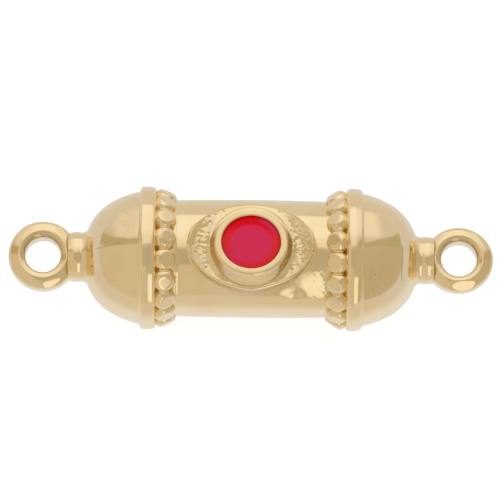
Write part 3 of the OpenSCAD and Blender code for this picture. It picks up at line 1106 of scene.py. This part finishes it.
def build_floor(studio):
    """Wide pale lit table, with a faint shadow close to the link."""
    turns = full_turn(96)
    middle = tuple(range(len(turns)))
    rows = []
    for reach in (20.0, 60.0, 160.0, 400.0, 1000.0):
        ring = np.stack([reach * np.cos(turns), reach * np.sin(turns), 0.0 * turns], axis=-1)
        rows.append(ring * MM)
    points = np.concatenate(rows)
    faces = [tuple(f) for f in grid_faces(len(rows), len(turns), False)] + [middle]
    mesh = bpy.data.meshes.new("floor")
    mesh.from_pydata(points.tolist(), [], faces)
    material, pen, place, shader = new_material("pale_floor")
    away = pen.vector("LENGTH", place, output="Value")
    shadow_full, shadow_gone = 0.030, 0.110
    fade = pen.ramp(away, shadow_full, shadow_gone)
    mottle = pen.ramp(pen.noise(place, scale=60.0), 0.3, 0.7, 0.0, 0.03)
    fade = pen.math("ADD", fade, mottle, clamp=True)
    shade = pen.mix(fade, opaque(studio.floor_shade), opaque((0.0, 0.0, 0.0)))
    pen.feed(shader.inputs["Base Color"], shade)
    pen.feed(
        shader.inputs["Emission Strength"],
        pen.ramp(fade, 0.0, 1.0, studio.floor_glow, display(*TENT_SEEN)[0]),
    )
    shader.inputs["Emission Color"].default_value = (1.0, 1.0, 1.0, 1.0)
    shader.inputs["Roughness"].default_value = 0.9
    shader.inputs["Specular IOR Level"].default_value = 0.0
    mesh.materials.append(material)
    floor = bpy.data.objects.new("floor", mesh)
    floor.visible_glossy = False
    bpy.context.scene.collection.objects.link(floor)


def build_camera(studio):
    """Camera at the picture's angle."""
    data = bpy.data.cameras.new("camera")
    data.sensor_width = 36.0
    data.lens = 36.0 * studio.distance / studio.view_width
    data.clip_start, data.clip_end = 0.01, 10.0
    tilt = Matrix.Rotation(math.radians(90.0) - studio.elevation, 4, "X")
    turn = tilt @ Matrix.Rotation(studio.roll, 4, "Z")
    middle = Vector((0.0, 0.0, AXIS_HEIGHT)) + turn @ Vector((-studio.aside, studio.lift, 0.0))
    camera = bpy.data.objects.new("camera", data)
    camera.matrix_world = Matrix.Translation(middle + turn @ Vector((0, 0, studio.distance))) @ turn
    bpy.context.scene.collection.objects.link(camera)
    bpy.context.scene.camera = camera


def build_fill(studio):
    """Broad soft light from above that whitens the floor and keeps out of the reflections."""
    data = bpy.data.lights.new("fill_light", "SUN")
    data.energy = studio.fill
    data.angle = math.radians(110.0)
    towards_camera = math.radians(8.0)
    lamp = bpy.data.objects.new("fill_light", data)
    lamp.rotation_euler = (towards_camera, 0.0, 0.0)
    lamp.visible_glossy = False
    bpy.context.scene.collection.objects.link(lamp)


# Operators


class LINK_OT_tube(Operator):
    """Build the tube and the two rows of beads"""

    bl_idname = "link.tube"
    bl_label = "Tube and beads"

    def execute(self, context):
        size = sizes()
        build_tube(size)
        build_bead_row(
            size, side=1, turn=math.radians(-15.6), more_lean=math.radians(6.0), worn=-3
        )
        build_bead_row(size, side=-1, turn=math.radians(-14.0), more_lean=0.0, worn=-1)
        return {"FINISHED"}


class LINK_OT_bezel(Operator):
    """Build the eye-shaped plate and the bezel"""

    bl_idname = "link.bezel"
    bl_label = "Plate and bezel"

    def execute(self, context):
        size = sizes()
        build_plate(size)
        build_bezel(size)
        return {"FINISHED"}


class LINK_OT_inlay(Operator):
    """Build the red inlay"""

    bl_idname = "link.inlay"
    bl_label = "Inlay"

    def execute(self, context):
        build_inlay(sizes())
        return {"FINISHED"}


class LINK_OT_ends(Operator):
    """Build the bands, domes and necks"""

    bl_idname = "link.ends"
    bl_label = "Ends"

    def execute(self, context):
        size = sizes()
        build_end(
            size, side=1, neck_scale=0.98, neck_crest=12.30, crest_shift=0.10, crest_radius=1.5
        )
        build_end(
            size, side=-1, neck_scale=1.035, neck_crest=12.22, crest_shift=-0.10, crest_radius=3.0
        )
        return {"FINISHED"}


class LINK_OT_loops(Operator):
    """Build the two loops"""

    bl_idname = "link.loops"
    bl_label = "Loops"

    def execute(self, context):
        size = sizes()
        build_loop(
            size, side=1, half_length=2.41, half_width=2.30,
            facet_right=3.5, facet_front=37.0, facet_depth=0.11,
        )
        build_loop(
            size, side=-1, half_length=2.43, half_width=2.44,
            facet_right=12.0, facet_front=29.0, facet_depth=0.045,
        )
        return {"FINISHED"}


class LINK_OT_studio(Operator):
    """Set up the floor, the light and the camera"""

    bl_idname = "link.studio"
    bl_label = "Studio"

    def execute(self, context):
        studio = context.scene.link_studio
        build_floor(studio)
        build_tent(studio.elevation)
        build_fill(studio)
        build_camera(studio)
        context.scene.view_settings.view_transform = "Standard"
        return {"FINISHED"}


BUILDERS = (
    LINK_OT_tube, LINK_OT_bezel, LINK_OT_inlay, LINK_OT_ends, LINK_OT_loops, LINK_OT_studio
)


class LINK_PT_panel(Panel):
    """Lists the link's pieces, sizes, finishes and studio"""

    bl_idname = "LINK_PT_panel"
    bl_label = "Connector link"
    bl_space_type = "VIEW_3D"
    bl_region_type = "UI"
    bl_category = "Link"

    def draw(self, context):
        column = self.layout.column()
        for builder in BUILDERS:
            column.operator(builder.bl_idname)
        scene = context.scene
        for group in (scene.link_sizes, scene.link_finish, scene.link_studio):
            for name in group.__annotations__:
                column.prop(group, name)


CLASSES = (LinkSizes, LinkFinish, StudioSettings, *BUILDERS, LINK_PT_panel)


def register():
    """Adds the settings, the operators and the panel to Blender."""
    for each in CLASSES:
        bpy.utils.register_class(each)
    bpy.types.Scene.link_sizes = PointerProperty(type=LinkSizes)
    bpy.types.Scene.link_finish = PointerProperty(type=LinkFinish)
    bpy.types.Scene.link_studio = PointerProperty(type=StudioSettings)


def unregister():
    """Takes them out again."""
    del bpy.types.Scene.link_studio
    del bpy.types.Scene.link_finish
    del bpy.types.Scene.link_sizes
    for each in reversed(CLASSES):
        bpy.utils.unregister_class(each)


def main():
    """Builds the link in its studio."""
    register()
    bpy.ops.link.studio()
    bpy.ops.link.tube()
    bpy.ops.link.bezel()
    bpy.ops.link.inlay()
    bpy.ops.link.ends()
    bpy.ops.link.loops()


if __name__ == "__main__":
    main()
